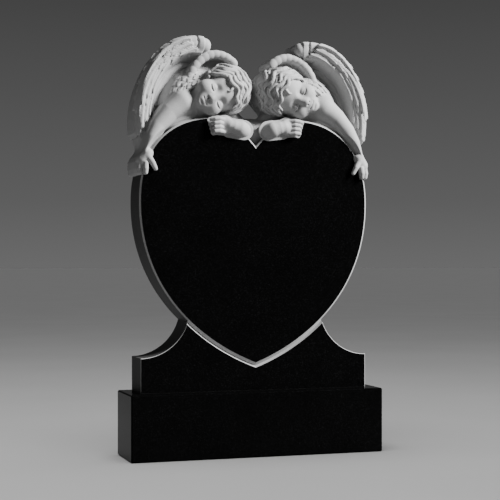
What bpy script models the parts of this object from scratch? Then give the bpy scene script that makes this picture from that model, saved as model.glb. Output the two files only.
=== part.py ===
"""Heart headstone: a black granite pedestal and a stele whose heart two sleeping cherubs lean over.

Metres, +Z up, the polished face looks along -Y. The origin is under the middle of the pedestal.
The cherubs are carved on a grid of figure millimetres: out from the middle of the stone, back from
the polished face, and up from the notch of the heart. One side is carved and the other mirrors it.
"""

import math

import bpy
import numpy as np
import openvdb

# Pedestal
PEDESTAL_WIDTH = 0.665
PEDESTAL_DEPTH = 0.160
PEDESTAL_HEIGHT = 0.165
PEDESTAL_ARRIS = 0.003
JOINT_GAP = 0.0003

# Stele below the heart
STELE_THICKNESS = 0.100
STELE_BACK = 0.059
SHOULDER_WIDTH = 0.600
SHOULDER_HEIGHT = 0.087
SHOULDER_RADIUS = 0.126

# Polished heart, to the edge of its polish
HEART_WIDTH = 0.599
HEART_HEIGHT = 0.616
HEART_TIP_LIFT = 0.071
HEART_EDGE = 0.004
GROOVE_DEPTH = 0.0085
GROOVE_OUTER = 0.004

# Shape of the heart, as shares of its width or height
WIDEST_LEVEL = 0.656
NOTCH_LEVEL = 0.8815
LOBE_OUT = 0.327
LOBE_FULLNESS = 2.3
LOBE_INNER_FULLNESS = 1.5
TIP_HANDLE = 0.534
TIP_SLOPE = math.radians(21)
SIDE_HANDLE = 0.718
HEART_STEPS = 25
GROOVE_STEPS = 29

# Carving
FIGURE_WIDTH = 599.0
VOXEL = 2.0
SADDLE_HALF_WIDTH = 44.0
SADDLE_TOP = 79.0
CARVED_TRIANGLES = 4200
FAR = 9.0

STELE_FOOT = PEDESTAL_HEIGHT + JOINT_GAP
STELE_FACE = STELE_BACK - STELE_THICKNESS
HEART_TIP = STELE_FOOT + HEART_TIP_LIFT
NOTCH_HEIGHT = HEART_TIP + NOTCH_LEVEL * HEART_HEIGHT
MILLIMETRE = HEART_WIDTH / FIGURE_WIDTH
BACK = STELE_THICKNESS / MILLIMETRE - 0.5


def stone(name, colour, roughness):
    """A granite finish."""
    material = bpy.data.materials.new(name)
    material.use_nodes = True
    shader = material.node_tree.nodes["Principled BSDF"]
    shader.inputs["Base Color"].default_value = (*colour, 1)
    shader.inputs["Roughness"].default_value = roughness
    shader.inputs["Metallic"].default_value = 0
    return material


def add_object(name, points, faces, material):
    """A mesh object at the origin."""
    mesh = bpy.data.meshes.new(name)
    mesh.from_pydata([tuple(map(float, point)) for point in points], [], faces)
    mesh.materials.append(material)
    made = bpy.data.objects.new(name, mesh)
    bpy.context.scene.collection.objects.link(made)
    return made


def boolean(target, operation, other):
    """An exact Boolean with a helper that the model then hides."""
    other.hide_render = True
    other.display_type = "WIRE"
    modifier = target.modifiers.new(other.name, "BOOLEAN")
    modifier.operation = operation
    modifier.solver = "EXACT"
    modifier.object = other


def prism(name, outline, front, back, material):
    """An outline of (x, z) points, counter-clockwise seen from the front, pulled from front to back."""
    count = len(outline)
    points = [(x, front, z) for x, z in outline] + [(x, back, z) for x, z in outline]
    faces = [list(range(count)), list(range(2 * count - 1, count - 1, -1))]
    for i in range(count):
        j = (i + 1) % count
        faces.append([j, i, count + i, count + j])
    return add_object(name, points, faces, material)


def superellipse(share, height, fullness):
    """The height of a superellipse's arc at a share of its reach."""
    return height * (1 - share**fullness) ** (1 / fullness)


def right_half_heart(steps):
    """The polished face's edge as (x, z), from the tip up the right side and down into the notch."""
    half = HEART_WIDTH / 2
    widest = HEART_TIP + WIDEST_LEVEL * HEART_HEIGHT
    top = HEART_TIP + HEART_HEIGHT
    tip = np.array([0, HEART_TIP])
    tip_handle = tip + TIP_HANDLE * half * np.array([math.cos(TIP_SLOPE), math.sin(TIP_SLOPE)])
    side_handle = np.array([half, widest - SIDE_HANDLE * half])
    side = np.array([half, widest])
    points = []
    for t in np.linspace(0, 1, steps)[:-1]:
        points.append(
            (1 - t) ** 3 * tip
            + 3 * t * (1 - t) ** 2 * tip_handle
            + 3 * t * t * (1 - t) * side_handle
            + t**3 * side
        )
    peak = LOBE_OUT * half
    for angle in np.linspace(0, math.pi / 2, steps - 6)[:-1]:
        share = math.cos(angle) ** (2 / LOBE_FULLNESS)
        rise = superellipse(share, top - widest, LOBE_FULLNESS)
        points.append((peak + (half - peak) * share, widest + rise))
    notch_share = ((NOTCH_HEIGHT - widest) / (top - widest)) ** LOBE_INNER_FULLNESS
    reach = peak / (1 - notch_share) ** (1 / LOBE_INNER_FULLNESS)
    for x in np.linspace(peak, 0, steps // 3):
        rise = superellipse((peak - x) / reach, top - widest, LOBE_INNER_FULLNESS)
        points.append((x, widest + rise))
    return np.array(points)


def offset(line, distance):
    """The half outline moved outward, its two ends kept on the middle of the stone by a mitre."""
    ahead = np.diff(line, axis=0)
    normals = np.stack([ahead[:, 1], -ahead[:, 0]], axis=1)
    normals /= np.linalg.norm(normals, axis=1)[:, None]
    moved = line.copy()
    moved[1:-1] += distance * mitre(normals[:-1], normals[1:])
    moved[0, 1] += distance / normals[0, 1]
    moved[-1, 1] += distance / normals[-1, 1]
    return moved


def mitre(before, after):
    """The push that moves both edges at a corner outward by one."""
    total = before + after
    return 2 * total / (total**2).sum(axis=1)[:, None]


def whole(half):
    """A closed outline from its right half, counter-clockwise, its ends on the middle."""
    left = half[-2:0:-1] * (-1, 1)
    return np.concatenate([half, left])


def slab_outline(heart):
    """The stele's outline: straight foot, hollow quarter rounds, then the heart from where they meet it."""
    half = SHOULDER_WIDTH / 2
    top = STELE_FOOT + SHOULDER_HEIGHT
    hollow = np.array([half, top + SHOULDER_RADIUS])
    gap = np.linalg.norm(heart - hollow, axis=1) - SHOULDER_RADIUS
    first = int(np.argmax(gap < 0))
    share = gap[first - 1] / (gap[first - 1] - gap[first])
    meeting = heart[first - 1] + share * (heart[first] - heart[first - 1])
    sweep = math.asin((half - meeting[0]) / SHOULDER_RADIUS)
    points = [(0, STELE_FOOT), (half, STELE_FOOT)]
    for angle in np.linspace(0, sweep, 15)[:-1]:
        across = half - SHOULDER_RADIUS * math.sin(angle)
        points.append((across, top + SHOULDER_RADIUS * (1 - math.cos(angle))))
    return whole(np.array([*points, meeting, *heart[first:]]))


def saddle():
    """The stone that closes the stele between the two cherubs."""
    half = SADDLE_HALF_WIDTH * MILLIMETRE
    top = NOTCH_HEIGHT + SADDLE_TOP * MILLIMETRE
    low = NOTCH_HEIGHT - SADDLE_TOP * MILLIMETRE
    return [(-half, low), (half, low), (half, top), (-half, top)]


def groove_cutter(face):
    """A closed ring of V section that cuts the heart's sloping edge and the groove around its foot."""
    lip = 0.003
    run_out = lip * GROOVE_OUTER / GROOVE_DEPTH
    section = ((-lip, -lip), (GROOVE_DEPTH, GROOVE_DEPTH), (GROOVE_DEPTH + GROOVE_OUTER + run_out, -lip))
    points = []
    for distance, depth in section:
        ring = whole(offset(face, distance))
        points += [(x, STELE_FACE + depth, z) for x, z in ring]
    count = len(points) // 3
    faces = []
    for row in range(3):
        for i in range(count):
            j = (i + 1) % count
            a, b = row * count, (row + 1) % 3 * count
            faces.append([a + i, a + j, b + j, b + i])
    return add_object("groove_cutter", points, faces, None)


def soft_min(a, b, soft):
    """The lesser of two distances, with the crease between them filled over a width."""
    if not soft:
        return np.minimum(a, b)
    near = np.maximum(soft - np.abs(a - b), 0) / soft
    return np.minimum(a, b) - near * near * soft / 4


class Clay:
    """A signed distance on a grid, negative inside the stone. Its axes are out, back and up."""

    def __init__(self, low, high, step):
        self.low = np.array(low, float)
        self.step = step
        counts = np.ceil((np.array(high) - self.low) / step).astype(int) + 1
        self.field = np.full(counts, FAR, np.float32)

    def near(self, low, high):
        """The part of the grid in a box, and its coordinates."""
        first = np.floor((np.array(low) - self.low) / self.step).astype(int)
        last = np.ceil((np.array(high) - self.low) / self.step).astype(int) + 1
        first = np.clip(first, 0, self.field.shape)
        last = np.clip(last, 0, self.field.shape)
        where = tuple(slice(a, b) for a, b in zip(first, last))
        axes = [
            self.low[i] + self.step * np.arange(first[i], last[i], dtype=np.float32)
            for i in range(3)
        ]
        return where, np.meshgrid(*axes, indexing="ij", sparse=True)

    def work(self, where, distance, soft, cut):
        """Adds or takes away a shape given by its distances."""
        field = self.field[where]
        if cut:
            self.field[where] = -soft_min(-field, distance, soft)
        else:
            self.field[where] = soft_min(field, distance, soft)

    def ball(self, centre, radii, axes=np.eye(3), soft=0.0, cut=False, wall=False):
        """An ellipsoid; with a wall its outline runs straight to the back of the stone."""
        centre, radii = np.array(centre, float), np.array(radii, float)
        reach = np.sqrt(((axes * radii[:, None]) ** 2).sum(axis=0)) + soft + FAR / 2
        high = centre + reach
        if wall:
            high[1] = BACK + FAR
        where, (out, back, up) = self.near(centre - reach, high)
        if wall:
            back = np.minimum(back, centre[1])
        local = [
            (out - centre[0]) * axis[0] + (back - centre[1]) * axis[1] + (up - centre[2]) * axis[2]
            for axis in axes
        ]
        scaled = sum((part / radius) ** 2 for part, radius in zip(local, radii))
        steep = sum((part / radius**2) ** 2 for part, radius in zip(local, radii))
        scaled = np.sqrt(scaled)
        distance = scaled * (scaled - 1) / np.sqrt(np.maximum(steep, 1e-9))
        self.work(where, distance, soft, cut)

    def limb(self, points, soft=0.0, cut=False, wall=False):
        """A chain of tapering round rods through (out, back, up, radius) points."""
        points = np.array(points, float)
        reach = points[:, 3:] + soft + FAR / 2
        low = (points[:, :3] - reach).min(axis=0)
        high = (points[:, :3] + reach).max(axis=0)
        if wall:
            high[1] = BACK + FAR
        where, (out, back, up) = self.near(low, high)
        distance = None
        for a, b in zip(points, points[1:]):
            ahead = b - a
            length = max((ahead[:3] ** 2).sum(), 1e-9)
            if wall:
                across = ahead[0] * (out - a[0]) + ahead[2] * (up - a[2])
                share = np.clip(across / max(ahead[0] ** 2 + ahead[2] ** 2, 1e-9), 0, 1)
                deep = np.minimum(back - a[1] - share * ahead[1], 0)
            else:
                along = ahead[0] * (out - a[0]) + ahead[1] * (back - a[1]) + ahead[2] * (up - a[2])
                share = np.clip(along / length, 0, 1)
                deep = back - a[1] - share * ahead[1]
            gap = (out - a[0] - share * ahead[0]) ** 2 + deep**2 + (up - a[2] - share * ahead[2]) ** 2
            rod = np.sqrt(gap) - (a[3] + share * ahead[3])
            distance = rod if distance is None else np.minimum(distance, rod)
        self.work(where, distance, soft, cut)

    def mesh(self):
        """Points and quads of the surface, in figure millimetres."""
        grid = openvdb.FloatGrid(background=FAR)
        grid.copyFromArray(np.clip(self.field, -FAR, FAR).astype(np.float32), tolerance=0.0)
        points, quads = grid.convertToQuads(isovalue=0.0)
        return points * self.step + self.low, quads


# Head: its middle, how far it leans to the middle of the stone, and how far it looks down
HEAD = np.array([84.0, 22.0, 145.0])
HEAD_ROLL = math.radians(68.4)
HEAD_TURN = math.radians(9)


def head_axes():
    """Side, forward and crown directions of the head."""
    crown = np.array([-math.sin(HEAD_ROLL), 0, math.cos(HEAD_ROLL)])
    side = np.array([math.cos(HEAD_ROLL), 0, math.sin(HEAD_ROLL)])
    forward = np.array([0, -1.0, 0])
    turned = math.cos(HEAD_TURN) * forward - math.sin(HEAD_TURN) * side
    side = math.cos(HEAD_TURN) * side + math.sin(HEAD_TURN) * forward
    return np.array([side, turned, crown])


HEAD_AXES = head_axes()


def on_head(side, forward, crown, radius=None):
    """A place on the head, with a radius after it where one is given."""
    place = HEAD + np.array([side, forward, crown]) @ HEAD_AXES
    return place if radius is None else np.append(place, radius)


def carve_skull(clay):
    """Cranium, forehead, cheeks and chin."""
    clay.ball(on_head(0, -6, 10), (57, 52, 60), HEAD_AXES, wall=True)
    clay.ball(on_head(0, 10, -34), (44, 40, 49), HEAD_AXES, soft=14)
    clay.ball(on_head(0, 18, 0), (44, 33, 34), HEAD_AXES, soft=10)
    for side in (-1, 1):
        clay.ball(on_head(23 * side, 27, -47), (21, 20, 20), HEAD_AXES, soft=10)
    clay.ball(on_head(0, 33, -76), (13, 12, 10), HEAD_AXES, soft=9)


# Eyeball under the closed lid: how far beside the nose, how far forward and how high it sits, and its radii
EYE = (21.0, 34.0, -31.0)
EYE_RADII = (14.5, 13.5, 12.5)
LID_LEVEL = -35.0
LID_DROOP = 4.0


def lid_line(side):
    """Points on the closed eye, where the upper lid meets the lower one."""
    points = []
    for t in np.linspace(-0.8, 0.8, 7):
        crown = LID_LEVEL - LID_DROOP * (0.64 - t * t)
        swell = 1 - t * t - ((crown - EYE[2]) / EYE_RADII[2]) ** 2
        forward = EYE[1] + EYE_RADII[1] * math.sqrt(max(swell, 0.0))
        points.append(on_head(side * (EYE[0] + EYE_RADII[0] * t), forward + 0.6, crown, 1.9))
    return points


def carve_face(clay):
    """A plain sleeping child's face: closed lids, a short nose and full lips."""
    for side in (-1, 1):
        clay.ball(on_head(EYE[0] * side, 57, -27), (16, 15, 12), HEAD_AXES, soft=8, cut=True)
        clay.ball(on_head(EYE[0] * side, *EYE[1:]), EYE_RADII, HEAD_AXES, soft=2)
        clay.limb(lid_line(side), soft=1.0, cut=True)
    clay.limb([on_head(0, 41, -22, 6), on_head(0, 45, -38, 6.5), on_head(0, 50, -48, 7)], soft=8)
    for side in (-1, 1):
        clay.ball(on_head(7 * side, 47, -50), (5, 6, 4.5), HEAD_AXES, soft=4)
    clay.ball(on_head(0, 36, -64), (18, 12, 13), HEAD_AXES, soft=8)
    for side in (-1, 1):
        lip = [on_head(0, 46, -61.5, 3), on_head(5 * side, 45.5, -61, 3), on_head(11 * side, 41, -63.5, 2)]
        clay.limb(lip, soft=3)
    clay.limb([on_head(-7, 43, -68, 3), on_head(0, 45.5, -69, 3.6), on_head(7, 43, -68, 3)], soft=3)
    line = [on_head(-12, 43, -64.8, 1.4), on_head(0, 48, -64.8, 1.8), on_head(12, 43, -64.8, 1.4)]
    clay.limb(line, soft=1, cut=True)


# Hair: a cap over the cranium, cut back from the face along a slope
CAP = (2.0, -12.0, 14.0)
CAP_RADII = (66.0, 56.0, 62.0)
LOCK_RINGS = 8
LOCKS_PER_RING = 4


def carve_cap(clay):
    """The mass of the hair, behind the hairline."""
    scratch = Clay(clay.low, clay.low + clay.step * (np.array(clay.field.shape) - 1), clay.step)
    scratch.ball(on_head(*CAP), CAP_RADII, HEAD_AXES, wall=True)
    where, (out, back, up) = scratch.near(scratch.low, on_head(0, 0, 0) + 160)
    local = [
        (out - HEAD[0]) * axis[0] + (back - HEAD[1]) * axis[1] + (up - HEAD[2]) * axis[2]
        for axis in HEAD_AXES[1:]
    ]
    hairline = (local[0] - 0.95 * local[1] - 40) / math.hypot(1, 0.95)
    scratch.field[where] = -soft_min(-scratch.field[where], -hairline, 8)
    clay.field[:] = soft_min(clay.field, scratch.field, 2)


def on_hair(angle, share, lift, radius):
    """A place on the hair, at an angle round the face and a share of the way from hairline to outline."""
    side = (1 - share) * 50 * math.cos(angle) + share * (CAP[0] + 64 * math.cos(angle))
    crown = (1 - share) * (-30 + 42 * math.sin(angle)) + share * (CAP[2] + 61 * math.sin(angle))
    round_off = 1 - ((side - CAP[0]) / CAP_RADII[0]) ** 2 - ((crown - CAP[2]) / CAP_RADII[2]) ** 2
    forward = CAP[1] + CAP_RADII[1] * math.sqrt(max(round_off, 0.01)) + lift
    return on_head(side, forward, crown, radius)


def carve_locks(clay):
    """Locks combed over the head from the upper temple to the nape, in rings round the face."""
    for ring in range(LOCK_RINGS):
        share = 0.06 + 0.92 * ring / (LOCK_RINGS - 1)
        for place in range(LOCKS_PER_RING):
            start = math.radians(-24 + 58 * place + 23 * (ring % 3))
            length = math.radians(74 - 14 * share)
            points = []
            for t in np.linspace(0, 1, 8):
                wave = 0.055 * math.sin(2.4 * math.pi * t + 1.7 * ring)
                radius = 1.2 + 4.3 * math.sin(math.pi * (0.12 + 0.88 * t) ** 0.8)
                points.append(on_hair(start + length * t, share + wave - 0.05 * t, -1 + 3 * t, radius))
            clay.limb(points, soft=1.5)


def carve_curls(clay):
    """The forelock and the curls that fall on the temple and the nape."""
    curls = (
        ((64, 4, -6), (58, 19, -12), (50, 29, -16), (42, 34, -12), 4.0),
        ((64, 0, -22), (59, 13, -33), (53, 21, -43), (46, 26, -50), 4.0),
        ((60, 12, 4), (50, 28, -2), (39, 37, -6), (30, 41, 0), 4.0),
        ((-34, 40, 20), (-44, 34, 12), (-54, 26, 10), (-62, 14, 8), 6.0),
        ((-44, 26, 30), (-54, 20, 22), (-61, 10, 20), (-66, 0, 18), 6.0),
    )
    for *places, radius in curls:
        points = smooth_path(places, 9)
        sizes = radius * np.sin(np.pi * np.linspace(0.25, 0.95, 9)) + 1
        clay.limb([on_head(*place, size) for place, size in zip(points, sizes)], soft=1.5)


def smooth_path(points, count):
    """Points along a smooth curve through the given ones."""
    points = np.array(points, float)
    ends = np.concatenate([[2 * points[0] - points[1]], points, [2 * points[-1] - points[-2]]])
    found = []
    for place in np.linspace(0, len(points) - 1.0001, count):
        i = int(place)
        t = place - i
        a, b, c, d = ends[i : i + 4]
        found.append(
            0.5 * (2 * b + (c - a) * t + (2 * a - 5 * b + 4 * c - d) * t**2)
            + 0.5 * (3 * b - a - 3 * c + d) * t**3
        )
    return np.array(found)


# Outer arm, from the shoulder over the heart's edge, as (out, back, up, radius)
ARM = ((190, 16, 112, 30), (222, 14, 88, 25), (252, 12, 54, 21.5), (269, 6, 22, 18), (281, 2, -14, 13))
HAND = ((283, 2, -20, 14), (292, 8, -36, 17), (292, 10, -48, 14))
THUMB = ((282, -6, -26, 8), (270, -9, -42, 7.5), (263, -8, -58, 6))
FINGERS = (
    ((288, -5, -44, 7.5), (289, -9, -58, 7), (289, -8, -67, 6)),
    ((301, 6, -42, 8), (303, 2, -58, 7.5), (302, 2, -68, 6)),
    ((303, 24, -40, 8), (305, 22, -56, 7.5), (304, 22, -67, 6)),
)

# Inner arm, folded under the cheek
FOREARM = ((70, 26, 50, 20), (33, 10, 46, 21), (44, -3, 49, 20), (60, -6, 54, 16.5), (72, -7, 57, 14))
PALM = ((84, -5, 57), (20, 10, 22))
INNER_FINGERS = 4
FINGER_TOP = 71.0
FINGER_SPACING = 10.4


def carve_torso(clay):
    """Chest, neck and shoulder, lying on the heart."""
    clay.ball((192, 52, 70), (66, 46, 56), soft=6, wall=True)
    clay.limb([(120, 40, 100, 34), (160, 44, 96, 34)], soft=14, wall=True)
    clay.ball((186, 20, 112), (31, 32, 30), soft=12, wall=True)


def carve_outer_arm(clay):
    """The arm that hangs over the heart's edge, its hand closed round the side of the stone."""
    clay.limb(ARM, soft=5, wall=True)
    clay.limb(HAND, soft=6, wall=True)
    clay.limb(THUMB, soft=3)
    for finger in FINGERS:
        clay.limb(finger, soft=1.5, wall=True)


def carve_inner_arm(clay):
    """The forearm and hand that the cheek rests on."""
    clay.limb(FOREARM, soft=8)
    clay.ball(*PALM, soft=6)
    for i in range(INNER_FINGERS):
        up = FINGER_TOP - FINGER_SPACING * i
        tip = 122 - 3.2 * i
        finger = [(88, -8, up, 5.6), (101, -14, up + 1, 5.8), (112, -14, up, 5.2), (tip, -9, up - 2, 4.4)]
        clay.limb(finger, soft=1)


# Wing, in ellipses round a middle: its outline and the section from the middle out to the rim
WING_MIDDLE = (150.0, 81.0)
WING_RADII = (161.0, 208.0)
SECTION_AT = (0.0, 0.36, 0.50, 0.66, 0.76, 0.91, 0.96, 1.0, 1.3)
SECTION_BACK = (18.0, 18.0, 30.0, 48.0, 38.0, 13.0, 15.0, 30.0, 80.0)
LAYER = 3.0


def wing_place(share, angle):
    """A place on the wing, at a share of its ellipse and an angle from upright, outward."""
    return np.array(
        [
            WING_MIDDLE[0] + WING_RADII[0] * share * math.sin(angle),
            WING_MIDDLE[1] + WING_RADII[1] * share * math.cos(angle),
        ]
    )


def eased(at, knots, values):
    """Values between knots, level at each knot."""
    at = np.clip(at, knots[0], knots[-1])
    found = np.full(at.shape, values[-1], np.float32)
    for a, b, low, high in zip(knots, knots[1:], values, values[1:]):
        t = (at - a) / (b - a)
        inside = (t >= 0) & (t < 1)
        t = t * t * (3 - 2 * t)
        found[inside] = (low + (high - low) * t)[inside]
    return found


def beside(path, out, up):
    """How far along a path each point is, how far beside it, and the path's length."""
    nearest = np.full(np.broadcast(out, up).shape, np.inf)
    along, beside_it = np.zeros(nearest.shape), np.zeros(nearest.shape)
    run = 0.0
    for a, b in zip(path, path[1:]):
        ahead = b - a
        length = math.hypot(*ahead)
        share = np.clip(((out - a[0]) * ahead[0] + (up - a[1]) * ahead[1]) / length**2, 0, 1)
        gap = np.hypot(out - a[0] - share * ahead[0], up - a[1] - share * ahead[1])
        side = np.sign(ahead[0] * (up - a[1]) - ahead[1] * (out - a[0]))
        closer = gap < nearest
        nearest = np.where(closer, gap, nearest)
        along = np.where(closer, run + share * length, along)
        beside_it = np.where(closer, side * gap, beside_it)
        run += length
    return along, beside_it, run


class Plumage:
    """A wing's front as its depth over a grid seen from the front, with the outline it is cut to."""

    def __init__(self, clay):
        _, (out, _, up) = clay.near(clay.low, clay.low + clay.step * np.array(clay.field.shape))
        self.out, self.up = out[:, 0, :], up[:, 0, :]
        across = (self.out - WING_MIDDLE[0]) / WING_RADII[0]
        rise = (self.up - WING_MIDDLE[1]) / WING_RADII[1]
        self.share = np.hypot(across, rise)
        self.angle = np.arctan2(across, rise)
        tail = np.clip((self.angle - math.radians(70)) / math.radians(35), 0, 1)
        self.base = eased(self.share, SECTION_AT, SECTION_BACK) + 10 * tail * tail
        self.front = self.base.copy()
        rim = (self.share - 0.965) * 180
        foot = (math.radians(-9) - self.angle) * 160
        self.outline = np.maximum(np.maximum(rim, foot), 46 - self.up)

    def feather(self, path, half_width, layer, tip=1.4, tilt=1.5):
        """A blade along a path, over what lies below it; its tip lifts."""
        along, beside_it, length = beside(path, self.out, self.up)
        tip_length = tip * half_width
        root = np.clip(0.6 + along / (0.35 * length), 0, 1)
        end = np.clip((along - length + tip_length) / tip_length, 0, 1)
        width = np.maximum(half_width * root * np.sqrt(1 - end**2), 1e-3)
        across = beside_it / width
        inside = np.abs(across) < 1
        quill = 1.2 * np.exp(-((beside_it / 1.6) ** 2))
        lift = layer * LAYER + 3 * along / length + 2.2 * (1 - across**2) + tilt * across + quill
        self.front = np.where(inside, np.minimum(self.front, self.base - lift), self.front)
        self.outline = np.minimum(self.outline, np.where(width > 0.5, np.abs(beside_it) - width, FAR))

    def carve(self, clay):
        """Adds the wing to the clay, through to the back of the stone."""
        _, (_, back, _) = clay.near(clay.low, clay.low + clay.step * np.array(clay.field.shape))
        slope = np.hypot(*np.gradient(self.front, clay.step))
        flat = 1 / np.sqrt(1 + np.minimum(slope, 2.5) ** 2)
        front = (self.front[:, None, :] - back) * flat[:, None, :]
        distance = np.maximum(front, self.outline[:, None, :])
        clay.field[:] = soft_min(clay.field, distance.astype(np.float32), 2)


def arc(share_from, share_to, start, end, count=9):
    """A path that follows the wing's ellipses, between two angles in degrees."""
    return [
        wing_place(share_from + (share_to - share_from) * t, math.radians(start + (end - start) * t))
        for t in np.linspace(0, 1, count)
    ]


def carve_wing(clay):
    """Rows of feathers from the long tips up to the plates on the wing's bend."""
    wing = Plumage(clay)
    for i in range(3):
        wing.feather(arc(0.86 - 0.09 * i, 0.95 - 0.10 * i, 48, 104 - 4 * i), 11, 0.0)
    for i in range(4):
        wing.feather(arc(0.94 - 0.08 * i, 0.965 - 0.085 * i, 46 - 3 * i, 90 - 6 * i), 10, 1.0)
    for i in range(6):
        start = 8 + 3 * i
        wing.feather(arc(0.70 - 0.075 * i, 0.72 - 0.085 * i, start, 72 - 2 * i), 9, 0.4 + 0.3 * (i % 2))
    for i in range(4):
        wing.feather(arc(0.95 - 0.075 * i, 0.955 - 0.08 * i, 26 - 3 * i, 63 - 4 * i), 9.5, 1.9)
    for i in range(4):
        wing.feather(arc(0.66 - 0.09 * i, 0.68 - 0.10 * i, 2, 44 - 5 * i), 9, 1.4)
    for i in range(4):
        wing.feather(arc(0.95 - 0.07 * i, 0.955 - 0.075 * i, 6 - 2 * i, 40 - 4 * i), 9.5, 2.7)
    for i in range(3):
        wing.feather(arc(0.93 - 0.085 * i, 0.94 - 0.085 * i, -6, 19 - 3 * i), 12, 3.4, tip=0.7)
    wing.carve(clay)
    clay.limb([(134, 46, 260, 21), (142, 44, 266, 21)], soft=10, wall=True)
    clay.ball((100, 56, 140), (74, 12, 90), soft=6, wall=True)


# Roll along the shoulder of the wing, an arc over the head
ROLL_MIDDLE = (97.0, 146.0)
ROLL_RADII = (74.0, 93.0)
ROLL_THICKNESS = 20.0


def carve_roll(clay):
    """The roll that frames the head."""
    points = []
    for angle in np.radians(np.linspace(-40, 98, 15)):
        out = ROLL_MIDDLE[0] + ROLL_RADII[0] * math.sin(angle)
        up = ROLL_MIDDLE[1] + ROLL_RADII[1] * math.cos(angle)
        points.append((out, 30, up, ROLL_THICKNESS / 2))
    clay.limb(points, soft=2, wall=True)


def cherub():
    """One cherub in clay, with its wing, ready to mesh."""
    clay = Clay((2, -46, -84), (326, BACK + 8, 300), VOXEL)
    carve_wing(clay)
    carve_roll(clay)
    carve_torso(clay)
    carve_skull(clay)
    carve_face(clay)
    carve_cap(clay)
    carve_locks(clay)
    carve_curls(clay)
    carve_outer_arm(clay)
    carve_inner_arm(clay)
    _, (_, back, _) = clay.near(clay.low, clay.low + clay.step * np.array(clay.field.shape))
    clay.field[:] = np.maximum(clay.field, back - BACK)
    return clay


def add_cherub(name, points, quads, side, material):
    """The carving on one side of the stone, thinned to facets that keep its forms."""
    places = points * MILLIMETRE
    world = np.stack([side * places[:, 0], STELE_FACE + places[:, 1], NOTCH_HEIGHT + places[:, 2]], axis=1)
    faces = quads if side > 0 else quads[:, ::-1]
    made = add_object(name, world, faces.tolist(), material)
    thinned = made.modifiers.new("facets", "DECIMATE")
    thinned.ratio = CARVED_TRIANGLES / (2 * len(quads))
    return made


def make_pedestal(material):
    """The polished block that the stele stands on."""
    outline = [
        (-PEDESTAL_WIDTH / 2, 0),
        (PEDESTAL_WIDTH / 2, 0),
        (PEDESTAL_WIDTH / 2, PEDESTAL_HEIGHT),
        (-PEDESTAL_WIDTH / 2, PEDESTAL_HEIGHT),
    ]
    block = prism("pedestal", outline, -PEDESTAL_DEPTH / 2, PEDESTAL_DEPTH / 2, material)
    arris = block.modifiers.new("arris", "BEVEL")
    arris.width = PEDESTAL_ARRIS
    arris.segments = 1


def make_stele(polished, honed):
    """The stele in one stone: shoulders, heart and the two cherubs."""
    outline = slab_outline(offset(right_half_heart(HEART_STEPS), HEART_EDGE))
    stele = prism("stele", outline, STELE_FACE, STELE_BACK, polished)
    stele.data.materials.append(honed)
    boolean(stele, "DIFFERENCE", groove_cutter(right_half_heart(GROOVE_STEPS)))
    behind = STELE_FACE + 2 * GROOVE_DEPTH
    boolean(stele, "UNION", prism("saddle", saddle(), behind, STELE_BACK - 0.0003, honed))
    points, quads = cherub().mesh()
    for name, side in (("cherub_left", -1), ("cherub_right", 1)):
        boolean(stele, "UNION", add_cherub(name, points, quads, side, honed))
    return stele


def main():
    for old in list(bpy.data.objects):
        bpy.data.objects.remove(old, do_unlink=True)
    polished = stone("polished_black_granite", (0.008, 0.008, 0.009), 0.08)
    honed = stone("honed_granite", (0.42, 0.42, 0.41), 0.75)
    make_pedestal(polished)
    make_stele(polished, honed)


main()
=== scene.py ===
import math

import bpy
import numpy as np
import openvdb
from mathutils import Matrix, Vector


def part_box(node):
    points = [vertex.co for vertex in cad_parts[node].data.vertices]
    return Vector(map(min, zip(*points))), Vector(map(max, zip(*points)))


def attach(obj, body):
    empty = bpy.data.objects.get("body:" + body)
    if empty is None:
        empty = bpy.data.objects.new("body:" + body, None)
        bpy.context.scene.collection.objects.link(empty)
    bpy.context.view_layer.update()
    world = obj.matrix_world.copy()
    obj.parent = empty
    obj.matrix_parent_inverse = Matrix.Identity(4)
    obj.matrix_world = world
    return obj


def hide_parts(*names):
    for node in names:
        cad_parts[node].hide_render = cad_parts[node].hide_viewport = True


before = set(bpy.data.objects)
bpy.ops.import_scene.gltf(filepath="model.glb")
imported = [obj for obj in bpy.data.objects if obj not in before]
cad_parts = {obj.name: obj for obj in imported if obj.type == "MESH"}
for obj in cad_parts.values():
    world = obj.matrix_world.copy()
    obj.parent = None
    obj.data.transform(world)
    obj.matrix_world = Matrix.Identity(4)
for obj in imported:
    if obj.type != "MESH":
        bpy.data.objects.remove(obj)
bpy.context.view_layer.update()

# Looks of the heart headstone: polished black granite with a honed edge and two honed cherubs.
# The carving is worked on a grid of figure millimetres: out from the middle of the stone, back from
# the polished face, and up from the notch of the heart. One side is carved and the other mirrors it.

# Stele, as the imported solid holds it, in metres
STELE_THICKNESS = 0.100
SHOULDER_WIDTH = 0.600
SHOULDER_HEIGHT = 0.087
SHOULDER_RADIUS = 0.126
HEART_WIDTH = 0.599
HEART_HEIGHT = 0.616
HEART_TIP_LIFT = 0.071
HEART_EDGE = 0.004
GROOVE_DEPTH = 0.0085
GROOVE_OUTER = 0.004
GROOVE_LIP = 0.003
ARRIS = 0.0012

# Shape of the heart, as shares of its width or height, and the points along its half
WIDEST_LEVEL = 0.656
NOTCH_LEVEL = 0.8815
LOBE_OUT = 0.327
LOBE_FULLNESS = 2.3
LOBE_INNER_FULLNESS = 1.5
TIP_HANDLE = 0.534
TIP_SLOPE = math.radians(21)
SIDE_HANDLE = 0.718
NOTCH_MARGIN = 0.002
HEART_STEPS = 73
GROOVE_STEPS = 89
FEWER_ON_LOBE = 6
SHOULDER_STEPS = 41

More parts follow.
